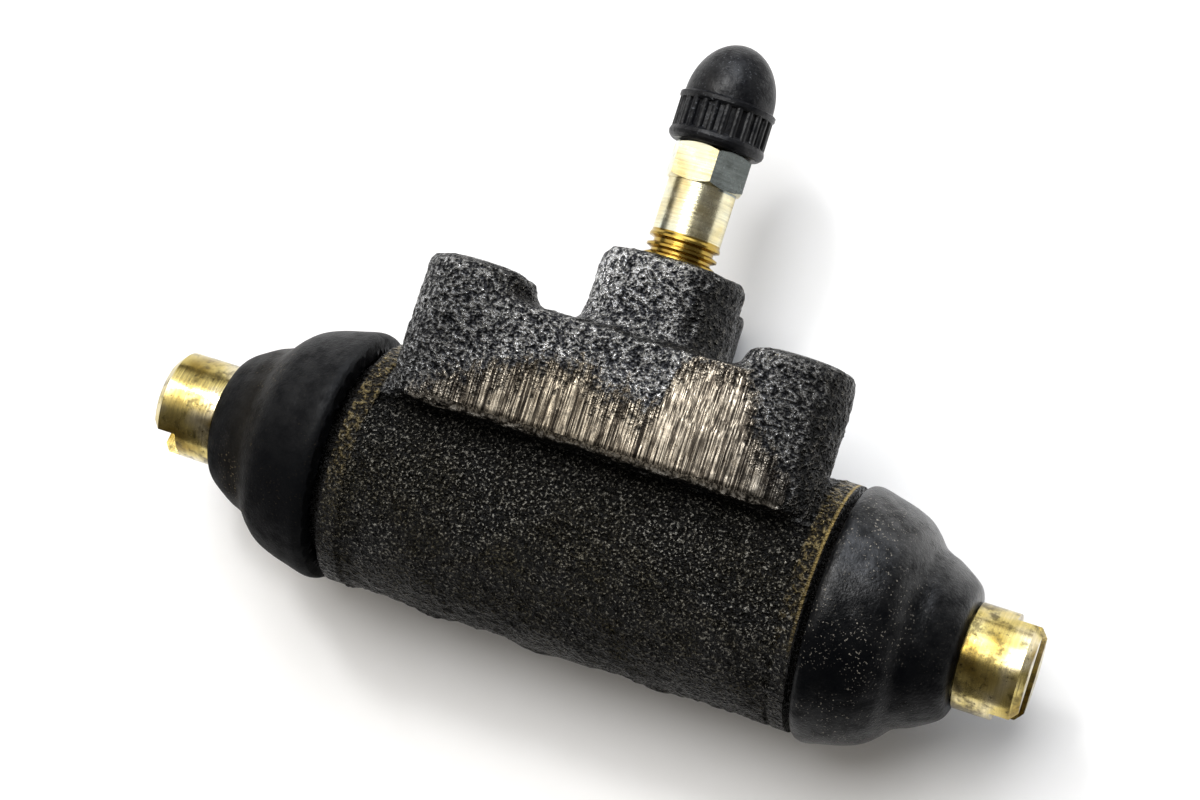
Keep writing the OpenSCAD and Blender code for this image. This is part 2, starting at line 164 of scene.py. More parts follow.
def feed(tree, shader, sockets):
    """Links values to a shader's own sockets."""
    for socket, value in sockets.items():
        tree.links.new(value, shader.inputs[socket])


def finish(name, **constants):
    """A new material with its tree, its surface shader and the Object coordinates that its patterns
    read."""
    made = bpy.data.materials.new(name)
    made.use_nodes = True
    tree = made.node_tree
    surface = tree.nodes["Principled BSDF"]
    for socket, value in constants.items():
        surface.inputs[socket].default_value = value
    return made, tree, surface, add(tree, "TexCoord", out="Object")


def per_mm(size):
    """The scale at which a pattern repeats about every so many millimetres."""
    return 1 / (size * MM)


def block_skin(tree, along, grit, stain):
    """Colour of the block's cast skin: grain with painted highlights on its tops and painted shade
    in its hollows, light grey where the front is worn by rubbing and faces the lamps as painted
    light, duller at its ends and under oil, and painted dark as shade round the sides."""
    facing = add(tree, "TexCoord", out="Normal")
    # Painted light: faces turned towards the lamps take the light front colour, faces turned away
    # the black side colour
    lit_and_rubbed = add(tree, "VectorMath", {0: facing, 1: LIT_AND_RUBBED_SIDE}, "Value", operation="DOT_PRODUCT")
    lit_and_rubbed = add(tree, "MapRange", {
        "Value": lit_and_rubbed, "From Min": 0.45, "From Max": 0.95}, interpolation_type="SMOOTHSTEP")
    # Painted light: the grain's colour follows the relief that the bump draws from the same grit,
    # with painted shade in its hollows and painted highlights up to white on its tops
    front = add(tree, "ValToRGB", {"Fac": grit}, stops=[
        (0.39, "#17181b"), (0.47, "#5a5b60"), (0.53, "#b4b3ae"), (0.58, "#ffffff")])
    dull_ends = add(tree, "ValToRGB", {"Fac": along}, stops=[
        (0.06, "#a8a8a8"), (0.34, "#ffffff"), (0.70, "#ffffff"), (0.92, "#9c9c9c")])
    oil = add(tree, "MapRange", {
        "Value": stain, "From Min": 0.36, "From Max": 0.62, "To Min": 0.75, "To Max": 1.3})
    for shade in (dull_ends, oil):
        front = add(tree, "Mix", {0: 1.0, 6: front, 7: shade}, **SHADED)
    # Painted shade and highlights on the side grain too: dark in its hollows, paler on its tops
    side = add(tree, "ValToRGB", {"Fac": grit}, stops=[
        (0.40, "#080808"), (0.51, "#1d1d1d"), (0.64, "#4f4c46")])
    return add(tree, "Mix", {0: lit_and_rubbed, 6: side, 7: front}, **BLENDED)


def barrel_skin(tree, place, height, stain, painted_ledge_shadow):
    """Colour of the barrel's cast skin: black sand with a few pale grains that are painted glints,
    brown dirt that has settled low, painted shade that darkens it towards the bottom, and a painted
    shadow under the ledge."""
    sand = add(tree, "TexNoise", {
        "Vector": place, "Scale": per_mm(0.3), "Detail": 3.0, "Roughness": 0.6})
    # Painted glints: the palest grains stand in for glints on the barrel
    skin = add(tree, "ValToRGB", {"Fac": sand}, stops=[
        (0.40, "#040404"), (0.50, "#111110"), (0.57, "#31302c"), (0.64, "#b4b1a8")])
    muddy = add(tree, "ValToRGB", {"Fac": sand}, stops=[
        (0.40, "#080703"), (0.50, "#1a170c"), (0.66, "#5f573c")])
    dirt = add(tree, "MapRange", {"Value": stain, "From Min": 0.36, "From Max": 0.60})
    settled = add(tree, "MapRange", {
        "Value": height, "From Min": 5 * MM, "From Max": -8 * MM, "To Min": 0.2})
    dirt = add(tree, "Math", {0: dirt, 1: settled}, operation="MULTIPLY")
    skin = add(tree, "Mix", {0: dirt, 6: skin, 7: muddy}, **BLENDED)
    # Painted shade: the barrel darkens towards the bottom, where less light falls
    shade = add(tree, "MapRange", {
        "Value": height, "From Min": -12 * MM, "From Max": 6 * MM, "To Min": 0.3})
    shade = add(tree, "Math", {0: shade, 1: painted_ledge_shadow}, operation="MULTIPLY")
    return add(tree, "Mix", {0: 1.0, 6: skin, 7: shade}, **SHADED)


def stained_collars(tree, skin, x, reach, height, grit):
    """The skin with its collars stained gold and brown by leaked brake liquid, painted strongest on
    top as painted light, a painted highlight along the right one's edge, and black in the gaps
    beside them, partly dirt and partly painted shade."""
    collar = add(tree, "MapRange", {
        "Value": reach, "From Min": COLLAR_X - 0.2 * MM, "From Max": COLLAR_X + 0.2 * MM})
    # Painted light: the gold stain is strongest on top and fades towards the bottom of the collars
    stain_and_painted_top_light = add(tree, "MapRange", {"Value": height, "From Min": -6 * MM, "From Max": 9 * MM})
    stain_and_painted_top_light = add(tree, "Math", {0: stain_and_painted_top_light, 1: collar}, operation="MULTIPLY")
    gold = add(tree, "ValToRGB", {"Fac": grit}, stops=[
        (0.43, "#12100a"), (0.51, "#3b3323"), (0.60, "#96865c")])
    skin = add(tree, "Mix", {0: stain_and_painted_top_light, 6: skin, 7: gold}, **BLENDED)
    # Painted highlight: a bright gold line along the right collar's outer edge
    painted_edge_highlight = add(tree, "MapRange", {
        "Value": x, "From Min": COLLAR_X + 1.6 * MM, "From Max": COLLAR_X + 1.8 * MM})
    painted_edge_highlight = add(tree, "Math", {0: painted_edge_highlight, 1: stain_and_painted_top_light}, operation="MULTIPLY")
    skin = add(tree, "Mix", {0: painted_edge_highlight, 6: skin, 7: "#a8925a"}, **BLENDED)
    # Near black beside the collars: dirt and painted shade in the gaps between body and boots
    gap = add(tree, "MapRange", {
        "Value": reach, "From Min": COLLAR_X + 1.95 * MM, "From Max": COLLAR_X + 2.05 * MM})
    return add(tree, "Mix", {0: gap, 6: skin, 7: "#0b0906"}, **BLENDED)


def ground_strip(tree, along, height, z, coarse, upright):
    """How far a place is under the ground strip's ragged upper edge, as a share of the ramp's span,
    and whether it is on the front flank above the ledge."""
    edge = add(tree, "ValToRGB", {"Fac": along}, stops=[
        ((px + SPAN_X) / (2 * SPAN_X), [(py - SPAN_LOW) / (SPAN_HIGH - SPAN_LOW)] * 3 + [1.0])
        for px, py in GROUND_EDGE])
    up = add(tree, "MapRange", {
        "Value": height, "From Min": SPAN_LOW * MM, "From Max": SPAN_HIGH * MM})
    runs = add(tree, "TexNoise", {
        "Vector": upright, "Scale": per_mm(0.9), "Detail": 3.0, "Roughness": 0.6})
    ragged = add(tree, "Mix", {0: 0.4, 2: coarse, 3: runs})
    ragged = add(tree, "MapRange", {"Value": ragged, "To Min": -0.45, "To Max": 0.45})
    under_edge = add(tree, "Math", {0: edge, 1: up}, operation="SUBTRACT")
    under_edge = add(tree, "Math", {0: under_edge, 1: ragged}, operation="ADD")
    front = add(tree, "MapRange", {
        "Value": z, "From Min": FLANK_Z - 1.3 * MM, "From Max": FLANK_Z - 1.0 * MM})
    above = add(tree, "MapRange", {
        "Value": height, "From Min": LEDGE_UP - 0.3 * MM, "From Max": LEDGE_UP})
    front = add(tree, "Math", {0: front, 1: above}, operation="MULTIPLY")
    return under_edge, front


def scratched_metal(tree, along, height, grit, scratches):
    """Colour of the ground strip: tan scratches that are brightest right of the middle, dark grain
    that the wheel missed, and a chipped lower edge."""
    metal = add(tree, "ValToRGB", {"Fac": scratches}, stops=[
        (0.38, "#1f1b17"), (0.50, "#665e53"), (0.62, "#dfd4c1")])
    polish = add(tree, "ValToRGB", {"Fac": along}, stops=[
        (0.06, "#b4b7bd"), (0.40, "#e0ded9"), (0.72, "#ffffff"), (0.92, "#9a9da3")])
    missed = add(tree, "MapRange", {
        "Value": grit, "From Min": 0.40, "From Max": 0.52, "To Min": 0.8, "To Max": 0.0})
    deep = add(tree, "MapRange", {
        "Value": polish, "From Min": 0.4, "From Max": 1.0, "To Min": 1.0, "To Max": 0.3})
    missed = add(tree, "Math", {0: missed, 1: deep}, operation="MULTIPLY")
    metal = add(tree, "Mix", {0: missed, 6: metal, 7: "#25211c"}, **BLENDED)
    metal = add(tree, "Mix", {0: 1.0, 6: metal, 7: polish}, **SHADED)
    chips = add(tree, "MapRange", {
        "Value": height, "From Min": LEDGE_UP + 1.1 * MM, "From Max": LEDGE_UP + 0.4 * MM})
    chipped = add(tree, "ValToRGB", {"Fac": grit}, stops=[
        (0.44, "#14120f"), (0.50, "#6d675e"), (0.58, "#e9e4da")])
    return add(tree, "Mix", {0: chips, 6: metal, 7: chipped}, **BLENDED)


def sand_cast_iron():
    """Sand-cast iron with an oily black skin. The eye sees coarse grain with painted highlights on
    its tops and painted shade in its hollows, light grey on the front where painted light falls,
    painted dark round the sides, brown dirt and painted shade low on the barrel, and a flank that a
    wheel has ground to upright tan scratches."""
    made, tree, surface, place = finish("sand_cast_iron")
    x, y, z = (add(tree, "SeparateXYZ", {0: place}, axis) for axis in "XYZ")
    height = add(tree, "Math", {0: y, 1: BORE_Y}, operation="SUBTRACT")
    depth = add(tree, "Math", {0: z, 1: BORE_Z}, operation="SUBTRACT")
    reach = add(tree, "Math", {0: x}, operation="ABSOLUTE")
    along = add(tree, "MapRange", {
        "Value": x, "From Min": -SPAN_X * MM, "From Max": SPAN_X * MM})
    upright = add(tree, "Mapping", {"Vector": place, "Scale": (1.0, 0.02, 1.0)})

    # Grain of the sand in two sizes, slow stains over it, and the wheel's scratches up the flank
    coarse = add(tree, "TexNoise", {
        "Vector": place, "Scale": per_mm(0.6), "Detail": 2.0, "Roughness": 0.55})
    fine = add(tree, "TexNoise", {
        "Vector": place, "Scale": per_mm(0.27), "Detail": 1.0, "Roughness": 0.5})
    grit = add(tree, "Mix", {0: 0.36, 2: coarse, 3: fine})
    stain = add(tree, "TexNoise", {
        "Vector": place, "Scale": per_mm(7), "Detail": 5.0, "Roughness": 0.65})
    scratches = add(tree, "TexNoise", {
        "Vector": upright, "Scale": per_mm(0.18), "Detail": 2.0, "Roughness": 0.8})

    # Cast skin of the block and, below its ledge, of the barrel, with the collars at its ends
    low = add(tree, "MapRange", {
        "Value": height, "From Min": LEDGE_UP + 0.4 * MM, "From Max": LEDGE_UP - 0.2 * MM})
    # Painted shadow: the barrel is darkened just under the ledge, where the ledge's shadow falls
    painted_ledge_shadow = add(tree, "MapRange", {
        "Value": height, "From Min": LEDGE_UP - 0.2 * MM, "From Max": 3 * MM, "To Min": 0.1})
    block = block_skin(tree, along, grit, stain)
    barrel = barrel_skin(tree, place, height, stain, painted_ledge_shadow)
    skin = add(tree, "Mix", {0: low, 6: block, 7: barrel}, **BLENDED)
    skin = stained_collars(tree, skin, x, reach, height, grit)

    # The flank's ground strip, up to a ragged edge where the wheel ran out on the cast skin
    under_edge, front = ground_strip(tree, along, height, z, coarse, upright)
    ground = add(tree, "MapRange", {"Value": under_edge, "From Min": -0.05, "From Max": 0.05})
    ground = add(tree, "Math", {0: ground, 1: front}, operation="MULTIPLY")
    metal = scratched_metal(tree, along, height, grit, scratches)
    colour = add(tree, "Mix", {0: ground, 6: skin, 7: metal}, **BLENDED)

    # Honed bore and faced mounting pads: bare grey iron
    off_axis = add(tree, "CombineXYZ", {"X": height, "Y": depth})
    radius = add(tree, "VectorMath", {0: off_axis}, "Value", operation="LENGTH")
    bored = add(tree, "MapRange", {
        "Value": radius, "From Min": BORE_R + 0.5 * MM, "From Max": BORE_R + 0.3 * MM})
    pad = add(tree, "MapRange", {"Value": y, "From Min": -0.16 * MM, "From Max": -0.04 * MM})
    on_ear = add(tree, "MapRange", {"Value": reach, "From Min": 10.5 * MM, "From Max": 11 * MM})
    pad = add(tree, "Math", {0: pad, 1: on_ear}, operation="MULTIPLY")
    bare = add(tree, "Math", {0: bored, 1: pad}, operation="MAXIMUM")
    grey = add(tree, "ValToRGB", {"Fac": grit}, stops=[(0.40, "#4b4a48"), (0.60, "#9a9893")])
    colour = add(tree, "Mix", {0: bare, 6: colour, 7: grey}, **BLENDED)

    # Bare metal where a tool has cut, a part-metallic skin that dulls low on the barrel and in the
    # painted shadow under
    #     the ledge, and more shine on the tops of the grain
    cut = add(tree, "Math", {0: ground, 1: bare}, operation="MAXIMUM")
    clean = add(tree, "MapRange", {"Value": height, "From Min": -9 * MM, "From Max": 6 * MM})
    clean = add(tree, "Math", {0: clean, 1: painted_ledge_shadow}, operation="MULTIPLY")
    metallic = add(tree, "MapRange", {"Value": clean, "To Min": 0.02, "To Max": 0.5})
    metallic = add(tree, "Mix", {0: low, 2: 0.8, 3: metallic})
    metallic = add(tree, "Mix", {0: cut, 2: metallic, 3: 0.9})
    sheen = add(tree, "MapRange", {"Value": clean, "To Min": 0.06, "To Max": 0.5})
    sheen = add(tree, "Mix", {0: low, 2: 0.5, 3: sheen})
    rough = add(tree, "MapRange", {
        "Value": grit, "From Min": 0.4, "From Max": 0.6, "To Min": 0.55, "To Max": 0.2})

    # Relief: deep grain on the skin, shallow scratch lines where a tool has cut
    lines = add(tree, "MapRange", {"Value": scratches, "To Min": 0.45, "To Max": 0.48})
    worn_in = add(tree, "MapRange", {"Value": under_edge, "From Min": -0.12, "From Max": 0.2})
    worn_in = add(tree, "Math", {0: worn_in, 1: front}, operation="MULTIPLY")
    worn_in = add(tree, "Math", {0: worn_in, 1: bare}, operation="MAXIMUM")
    relief = add(tree, "Mix", {0: worn_in, 2: grit, 3: lines})
    normal = add(tree, "Bump", {"Height": relief, "Strength": 1.0, "Distance": 3.0 * MM})
    feed(tree, surface, {
        "Base Color": colour, "Metallic": metallic, "Specular IOR Level": sheen,
        "Roughness": rough, "Normal": normal})
    return made


def yellow_zinc_steel(name, axis, deep, pale, blush, stain, wear, tints=()):
    """Turned steel under yellow zinc passivation. The eye sees a warm metal with fine tool lines
    round it, a drift from straw to a paler blush, dull stains and dark pits. Each tint colours the
    faces that look along +X more than a share, between two heights."""
    made, tree, surface, place = finish(name, Metallic=1.0)
    x, y = (add(tree, "SeparateXYZ", {0: place}, way) for way in "XY")
    squeeze = [0.02, 0.02, 0.02]
    squeeze[axis] = 1.0
    round_it = add(tree, "Mapping", {"Vector": place, "Scale": squeeze})
    tool_lines = add(tree, "TexNoise", {
        "Vector": round_it, "Scale": per_mm(0.25), "Detail": 3.0, "Roughness": 0.7})
    drift = add(tree, "TexNoise", {"Vector": place, "Scale": per_mm(5), "Detail": 2.0})
    blotch = add(tree, "TexNoise", {
        "Vector": place, "Scale": per_mm(1.6), "Detail": 5.0, "Roughness": 0.65})
    specks = add(tree, "TexNoise", {
        "Vector": place, "Scale": per_mm(0.4), "Detail": 3.0, "Roughness": 0.7})

    # Plating that drifts in colour, stained most of all beside the boots, and pitted
    plate = add(tree, "ValToRGB", {"Fac": drift}, stops=[
        (0.34, deep), (0.52, pale), (0.66, blush), (0.74, deep)])
    near_boot = add(tree, "Math", {0: x}, operation="ABSOLUTE")
    near_boot = add(tree, "MapRange", {
        "Value": near_boot, "From Min": PISTON_CLEAN, "From Max": PISTON_SOILED, "To Max": 0.14})
    worn = add(tree, "Math", {0: blotch, 1: near_boot}, operation="ADD")
    worn = add(tree, "MapRange", {
        "Value": worn, "From Min": 0.50, "From Max": 0.66, "To Max": wear})
    plate = add(tree, "Mix", {0: worn, 6: plate, 7: stain}, **BLENDED)
    pits = add(tree, "MapRange", {
        "Value": specks, "From Min": 0.64, "From Max": 0.70, "To Max": wear})
    plate = add(tree, "Mix", {0: pits, 6: plate, 7: "#2a251a"}, **BLENDED)
    facing = add(tree, "SeparateXYZ", {0: add(tree, "TexCoord", out="Normal")}, "X")
    for tint, share, bottom, top in tints:
        band = add(tree, "MapRange", {
            "Value": facing, "From Min": share, "From Max": share + 0.1})
        over = add(tree, "Math", {0: y, 1: bottom}, operation="GREATER_THAN")
        under = add(tree, "Math", {0: y, 1: top}, operation="LESS_THAN")
        for limit in (over, under):
            band = add(tree, "Math", {0: band, 1: limit}, operation="MULTIPLY")
        plate = add(tree, "Mix", {0: band, 6: plate, 7: tint}, **BLENDED)
    lit = add(tree, "MapRange", {
        "Value": tool_lines, "From Min": 0.3, "From Max": 0.7, "To Min": 0.72, "To Max": 1.1})
    plate = add(tree, "Mix", {0: 1.0, 6: plate, 7: lit}, **SHADED)
    rough = add(tree, "MapRange", {
        "Value": blotch, "From Min": 0.35, "From Max": 0.7, "To Min": 0.15, "To Max": 0.34})
    normal = add(tree, "Bump", {"Height": tool_lines, "Strength": 0.7, "Distance": 0.03 * MM})
    feed(tree, surface, {"Base Color": plate, "Roughness": rough, "Normal": normal})
    return made


def moulded_rubber(name, colour, gloss, roughness, dust, dust_from, dust_to, haze):
    """Moulded black rubber. The eye sees a soft sheen on the upper side of a faintly pitted skin,
    and grit and a haze of dust that have gathered between two places along the bore."""
    made, tree, surface, place = finish(name)
    x, y = (add(tree, "SeparateXYZ", {0: place}, way) for way in "XY")
    skin = add(tree, "TexNoise", {
        "Vector": place, "Scale": per_mm(0.35), "Detail": 3.0, "Roughness": 0.65})
    film = add(tree, "TexNoise", {
        "Vector": place, "Scale": per_mm(6), "Detail": 4.0, "Roughness": 0.6})
    film = add(tree, "MapRange", {"Value": film, "From Min": 0.42, "From Max": 0.62})
    grit = add(tree, "TexNoise", {"Vector": place, "Scale": per_mm(0.24), "Detail": 1.0})

    # Sheen: strong on the upper side, weak below, and mottled
    upper = add(tree, "MapRange", {
        "Value": y, "From Min": BORE_Y - 4 * MM, "From Max": BORE_Y + 9 * MM,
        "To Min": 0.12 * gloss, "To Max": gloss})
    mottle = add(tree, "TexNoise", {
        "Vector": place, "Scale": per_mm(2), "Detail": 5.0, "Roughness": 0.65})
    mottle = add(tree, "MapRange", {
        "Value": mottle, "From Min": 0.36, "From Max": 0.62, "To Min": 0.4, "To Max": 1.5})
    sheen = add(tree, "Math", {0: upper, 1: mottle}, operation="MULTIPLY")
    rough = add(tree, "MapRange", {
        "Value": film, "To Min": roughness, "To Max": roughness + 0.12})

    # Dust: specks and a haze in a belt, with little outside it
    belt = add(tree, "MapRange", {"Value": x, "From Min": dust_from, "From Max": dust_to})
    belt = add(tree, "ValToRGB", {"Fac": belt}, stops=[
        (0.0, (0.08, 0.08, 0.08, 1)), (0.5, (1, 1, 1, 1)), (1.0, (0.08, 0.08, 0.08, 1))])
    gathered = add(tree, "Math", {0: film, 1: belt}, operation="MULTIPLY")
    specks = add(tree, "MapRange", {"Value": grit, "From Min": 0.66, "From Max": 0.72})
    specks = add(tree, "Math", {0: specks, 1: gathered}, operation="MULTIPLY")
    hazy = add(tree, "Math", {0: belt, 1: skin}, operation="MULTIPLY")
    hazy = add(tree, "Math", {0: hazy, 1: haze}, operation="MULTIPLY")
    dusty = add(tree, "Math", {0: specks, 1: hazy}, operation="ADD", use_clamp=True)
    shade = add(tree, "Mix", {0: dusty, 6: colour, 7: dust}, **BLENDED)
    raised = add(tree, "Math", {0: specks, 1: skin}, operation="ADD")
    normal = add(tree, "Bump", {"Height": raised, "Strength": 0.7, "Distance": 0.10 * MM})
    feed(tree, surface, {
        "Base Color": shade, "Specular IOR Level": sheen, "Roughness": rough, "Normal": normal})
    return made


def bright_steel(name, colour, roughness):
    """Bright drawn or pressed steel. The eye sees a clean grey metal with a fine grain."""
    made, tree, surface, place = finish(name, Metallic=1.0)
    grain = add(tree, "TexNoise", {"Vector": place, "Scale": per_mm(0.4), "Detail": 3.0})
    shade = add(tree, "Mix", {0: grain, 6: colour, 7: "#77787a"}, **BLENDED)
    rough = add(tree, "MapRange", {"Value": grain, "To Min": roughness, "To Max": roughness + 0.2})
    feed(tree, surface, {"Base Color": shade, "Roughness": rough})
    return made


def take_up(piece):
    """Makes a piece the one that the next operators act on."""
    bpy.ops.object.select_all(action="DESELECT")
    piece.select_set(True)
    bpy.context.view_layer.objects.active = piece


def edit_all(piece, operator, **settings):
    """Runs a mesh operator on the whole of a piece."""
    take_up(piece)
    bpy.ops.object.mode_set(mode="EDIT")
    bpy.ops.mesh.select_all(action="SELECT")
    operator(**settings)
    bpy.ops.object.mode_set(mode="OBJECT")


def apply_modifier(piece, kind, **settings):
    """Puts a modifier on a piece and applies it at once."""
    take_up(piece)
    made = piece.modifiers.new(kind.lower(), kind)
    for setting, value in settings.items():
        setattr(made, setting, value)
    bpy.ops.object.modifier_apply(modifier=made.name)


def smooth(piece, degrees):
    """Shades a piece smooth across edges that bend by less than an angle."""
    take_up(piece)
    bpy.ops.object.shade_smooth_by_angle(angle=math.radians(degrees))


def merged_copy(node, name):
    """A copy of a solid's mesh as a piece of its own, with its loose triangles joined."""
    piece = bpy.data.objects.new(name, nodes[node].data.copy())
    piece.data.materials.clear()
    bpy.context.scene.collection.objects.link(piece)
    edit_all(piece, bpy.ops.mesh.remove_doubles, threshold=0.001 * MM)
    return piece


def cloud(name, size):
    """A cloudy texture for a Displace modifier, with lumps of a size in metres."""
    made = bpy.data.textures.new(name, "CLOUDS")
    made.noise_scale = size
    made.noise_depth = 2
    return made


def weigh(piece, name, share):
    """Gives a piece a vertex group whose weights a function takes from each point."""
    group = piece.vertex_groups.new(name=name)
    for point in piece.data.vertices:
        group.add([point.index], share(point.co), "REPLACE")


def ground_top(x):
    """Height of the ground strip's upper edge over the bore axis at a place along the bore, both in
    metres."""
    for (x0, y0), (x1, y1) in zip(GROUND_EDGE, GROUND_EDGE[1:]):
        if x0 * MM <= x < x1 * MM:
            return (y0 + (y1 - y0) * (x / MM - x0) / (x1 - x0)) * MM
    return 0.0


def cast_share(co):
    """1 on cast skin, 0 on collars, bore and holes, which a tool has cut, and little on the ground
    strip."""
    height = co.y - BORE_Y
    radius = math.hypot(height, co.z - BORE_Z)
    on_collar = abs(co.x) > COLLAR_X and radius < BOOT_R
    if on_collar or radius < BORE_R + BORE_MARGIN:
        return 0.0
    share = 1.0
    for hole_x, hole_z, hole_r in HOLES:
        beyond = math.hypot(co.x - hole_x, co.z - hole_z) - hole_r
        share = min(share, max(0.0, beyond / HOLE_FADE))
    on_flank = co.z > FLANK_Z - GROUND_DEPTH
    if on_flank and LEDGE_UP + GROUND_START < height < ground_top(co.x):
        share = min(share, GROUND_LUMPS)
    return share


def flash_share(co):
    """1 on the ridges of flash that the mould's parting line left along the barrel's lower side."""
    if co.y > BORE_Y - BORE_R - FLASH_START or abs(co.x) > COLLAR_X:
        return 0.0
    ridge = max(0.0, 1 - abs(co.z - BORE_Z) / FLASH_HALF_WIDTH)
    x = co.x / MM
    return ridge * max(max(0.0, 1 - ((x - middle) / half) ** 2) for middle, half in FLASH)


def cast_body():
    """The casting with the lumps and flash of its sand mould, and clean faces where a tool has cut.
    The remesh's scale keeps it under 200,000 triangles."""
    piece = merged_copy("cylinder_body", "cast_body")
    apply_modifier(
        piece, "REMESH", mode="SHARP", octree_depth=8, scale=0.59, use_remove_disconnected=False)
    weigh(piece, "cast", cast_share)
    apply_modifier(piece, "SMOOTH", factor=0.5, iterations=30, vertex_group="cast")
    weigh(piece, "flash", flash_share)
    apply_modifier(
        piece, "DISPLACE", mid_level=0.0, strength=FLASH_HEIGHT, vertex_group="flash")
    for name, size in (("mould_waves", 5 * MM), ("sand_lumps", 1 * MM)):
        apply_modifier(
            piece, "DISPLACE", texture=cloud(name, size), texture_coords="LOCAL",
            mid_level=0.8, strength=0.5 * MM, vertex_group="cast")
    piece.vertex_groups.clear()
    smooth(piece, 50)
    piece.data.materials.append(sand_cast_iron())
    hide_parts("cylinder_body")
    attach(piece, "body")


def boot(side, rubber):
    """A dust boot that sits on the spigot at its rim and on the piston at its neck, with faint
    lumps.
    """
    piece = merged_copy(side + "_boot", side + "_dust_boot")
    apply_modifier(
        piece, "DISPLACE", texture=cloud(side + "_boot_lumps", 7 * MM), texture_coords="LOCAL",
        mid_level=1.0, strength=0.05 * MM)
    smooth(piece, 40)
    apply_modifier(piece, "WEIGHTED_NORMAL", keep_sharp=True)
    piece.data.materials.append(rubber)
    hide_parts(side + "_boot")
    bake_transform(piece)


def half_spring(side, steel):
    """One half of the return spring, which its seal pushes, cut at the middle of the bore."""
    piece = merged_copy("return_spring", side + "_half_spring")
    edit_all(
        piece, bpy.ops.mesh.bisect, plane_co=(0, BORE_Y, BORE_Z), plane_no=(1, 0, 0), use_fill=True,
        clear_inner=side == "right", clear_outer=side == "left")
    smooth(piece, 60)
    piece.data.materials.append(steel)
    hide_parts("return_spring")
    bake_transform(piece)


def dress(node, made):
    """Gives a solid its finish."""
    nodes[node].data.materials.clear()
    nodes[node].data.materials.append(made)


# Dust lies round the left boot's waist, at a share of its length, and beside the right boot's rim
WAIST = 0.66
left_waist = left_boot_high.x + WAIST * (left_boot_low.x - left_boot_high.x)
left_rubber = moulded_rubber(
    "moulded_left_boot_rubber", "#0c0d0f", gloss=0.14, roughness=0.45,
    dust="#85775c", dust_from=left_waist - 3 * MM, dust_to=left_waist + 3 * MM, haze=0.06)
right_rubber = moulded_rubber(
    "moulded_right_boot_rubber", "#07080a", gloss=0.46, roughness=0.28,
    dust="#a09a8e", dust_from=right_boot_low.x - 4 * MM, dust_to=right_boot_low.x + 13 * MM,
    haze=0.0)
cap_rubber = moulded_rubber(
    "moulded_cap_rubber", "#0c0d10", gloss=0.26, roughness=0.34,
    dust="#6a6d72", dust_from=cap_low.x, dust_to=cap_high.x, haze=0.0)
seal_rubber = moulded_rubber(
    "moulded_seal_rubber", "#151517", gloss=0.4, roughness=0.4,
    dust="#3a3a3c", dust_from=spring_low.x, dust_to=spring_high.x, haze=0.0)
spring_steel = bright_steel("drawn_spring_steel", "#b9babb", roughness=0.25)
pressed_steel = bright_steel("pressed_sheet_steel", "#a4a6a8", roughness=0.3)
piston_zinc = yellow_zinc_steel(
    "zinc_plated_piston_steel", axis=0, deep="#97803d", pale="#d2bf78", blush="#e4d8b4",
    stain="#4a4029", wear=0.8)
# The hexagon's right face is painted grey as painted shade, and the thread is deep gold on all
# sides
SHADED_RIGHT_FACE = 0.62
ALL_SIDES = -1.2
screw_zinc = yellow_zinc_steel(
    "zinc_plated_screw_steel", axis=1, deep="#e2cc80", pale="#f6efcc", blush="#dde6d6",
    stain="#d6d4bd", wear=0.25, tints=[
        ("#949c9a", SHADED_RIGHT_FACE, HEX_LOW, HEX_HIGH), ("#b89b4c", ALL_SIDES, body_low.y, THREAD_TOP)])

cast_body()
boot("right", right_rubber)
boot("left", left_rubber)
half_spring("right", spring_steel)
half_spring("left", spring_steel)
for side in ("left", "right"):
    dress(side + "_piston", piston_zinc)
    dress(side + "_cup_seal", seal_rubber)
    dress(side + "_cup_expander", pressed_steel)
dress("bleed_screw", screw_zinc)
dress("bleed_cap", cap_rubber)

# Share of the floor's white that shows without light, its size in metres, and its gap to the part
OWN_WHITE = 0.02
FLOOR_SIZE = 6
FLOOR_GAP = 0.02 * MM


def paper_floor():
    """A sheet of white paper. The eye sees an even white that darkens only in the part's shadow."""
    made, tree, surface, place = finish("white_paper", Roughness=0.9)
    fibre = add(tree, "TexNoise", {"Vector": place, "Scale": per_mm(3), "Detail": 2.0})
    shade = add(tree, "Mix", {0: fibre, 6: "#fbfbfa", 7: "#ffffff"}, **BLENDED)
    feed(tree, surface, {"Base Color": shade})
    seen = add(tree, "LightPath", out="Is Camera Ray")
    for ray in ("Is Glossy Ray", "Is Transmission Ray"):
        other = add(tree, "LightPath", out=ray)
        seen = add(tree, "Math", {0: seen, 1: other}, operation="MAXIMUM")
    share = add(tree, "Math", {0: seen, 1: OWN_WHITE}, operation="MULTIPLY")
    paper = add(tree, "MixShader", {0: share, 1: surface.outputs[0], 2: add(tree, "Emission")})
    feed(tree, tree.nodes["Material Output"], {"Surface": paper})
    return made


bpy.ops.mesh.primitive_plane_add(size=FLOOR_SIZE, location=(0, 0, cad_box[0][2] - FLOOR_GAP))
floor = bpy.context.object
floor.name = "floor"
floor.data.materials.append(paper_floor())

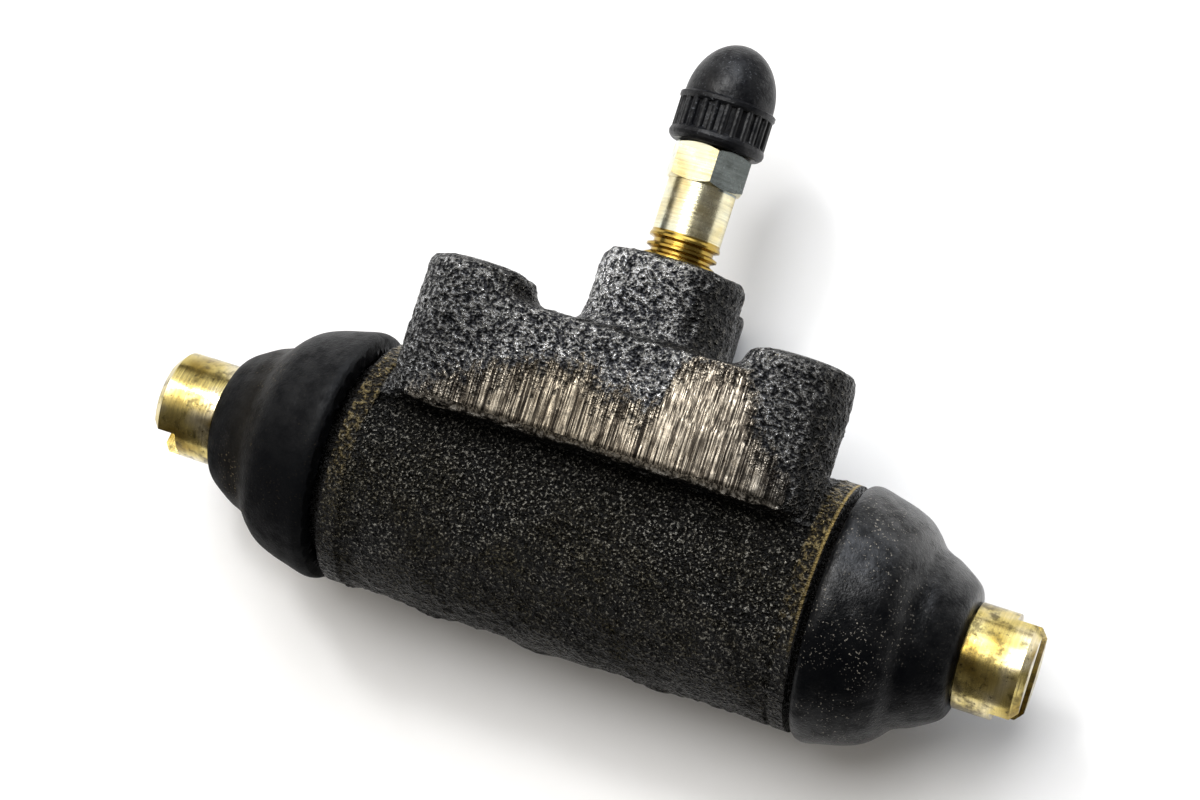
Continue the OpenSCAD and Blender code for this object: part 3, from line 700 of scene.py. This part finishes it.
# World: a dim room with a bright window at the back and a pale panel on the left
WINDOW_FROM = Vector((0.05, 0.85, 0.52)).normalized()
PANEL_FROM = Vector((-0.6, 0.2, 0.77)).normalized()
ROOM_POWER = 0.14
WINDOW_POWER = 3.2
PANEL_POWER = 1.4
world = bpy.data.worlds.new("studio")
bpy.context.scene.world = world
world.use_nodes = True
sky = world.node_tree
towards = add(sky, "TexCoord", out="Generated")
window = add(sky, "VectorMath", {0: towards, 1: WINDOW_FROM}, "Value", operation="DOT_PRODUCT")
window = add(sky, "MapRange", {"Value": window, "From Min": 0.86, "From Max": 0.97})
panel = add(sky, "VectorMath", {0: towards, 1: PANEL_FROM}, "Value", operation="DOT_PRODUCT")
panel = add(sky, "MapRange", {
    "Value": panel, "From Min": 0.84, "From Max": 0.96, "To Max": PANEL_POWER})
bright = add(sky, "MapRange", {"Value": window, "To Min": ROOM_POWER, "To Max": WINDOW_POWER})
bright = add(sky, "Math", {0: bright, 1: panel}, operation="MAXIMUM")
light = add(sky, "Mix", {0: window, 6: "#fff8ef", 7: "#e9f1ff"}, **BLENDED)
feed(sky, sky.nodes["Background"], {"Strength": bright, "Color": light})

# Lamps: a soft key high on the window's side, and a small hard spark that makes grain and edges
# glint, each with its energy, its spread in degrees and the way that it comes from
LAMP_HEIGHT = 0.5
for name, energy, spread, lamp_from in (
    ("key_light", 2.2, 40, Vector((-0.12, 0.40, 0.91))),
    ("spark_light", 0.6, 8, Vector((-0.35, 0.50, 0.79))),
):
    bpy.ops.object.light_add(type="SUN", location=(0, 0, LAMP_HEIGHT))
    lamp = bpy.context.object
    lamp.name = name
    lamp.data.energy = energy
    lamp.data.angle = math.radians(spread)
    lamp.rotation_euler = lamp_from.to_track_quat("Z", "Y").to_euler()

# Camera at the photograph's viewing angle: image right and the way back to the camera, in the
# part's frame
VIEW_RIGHT = Vector((0.9227, 0.3026, -0.2389))
VIEW_BACK = Vector((0.2595, -0.0295, 0.9653))
VIEW_EYE = Vector((80.14, -19.73, 304.46)) * MM
LENS_MM = 89.9
SENSOR_MM = 36
NEAREST = 0.01
back = VIEW_BACK.normalized()
right = (VIEW_RIGHT - back * VIEW_RIGHT.dot(back)).normalized()
turned = Matrix((right, back.cross(right), back)).transposed().to_4x4()
bpy.ops.object.camera_add()
camera = bpy.context.object
camera.matrix_world = Matrix.Translation(VIEW_EYE) @ turned
camera.data.lens = LENS_MM
camera.data.sensor_width = SENSOR_MM
camera.data.clip_start = NEAREST
bpy.context.scene.camera = camera

bpy.context.scene.view_settings.view_transform = "Standard"
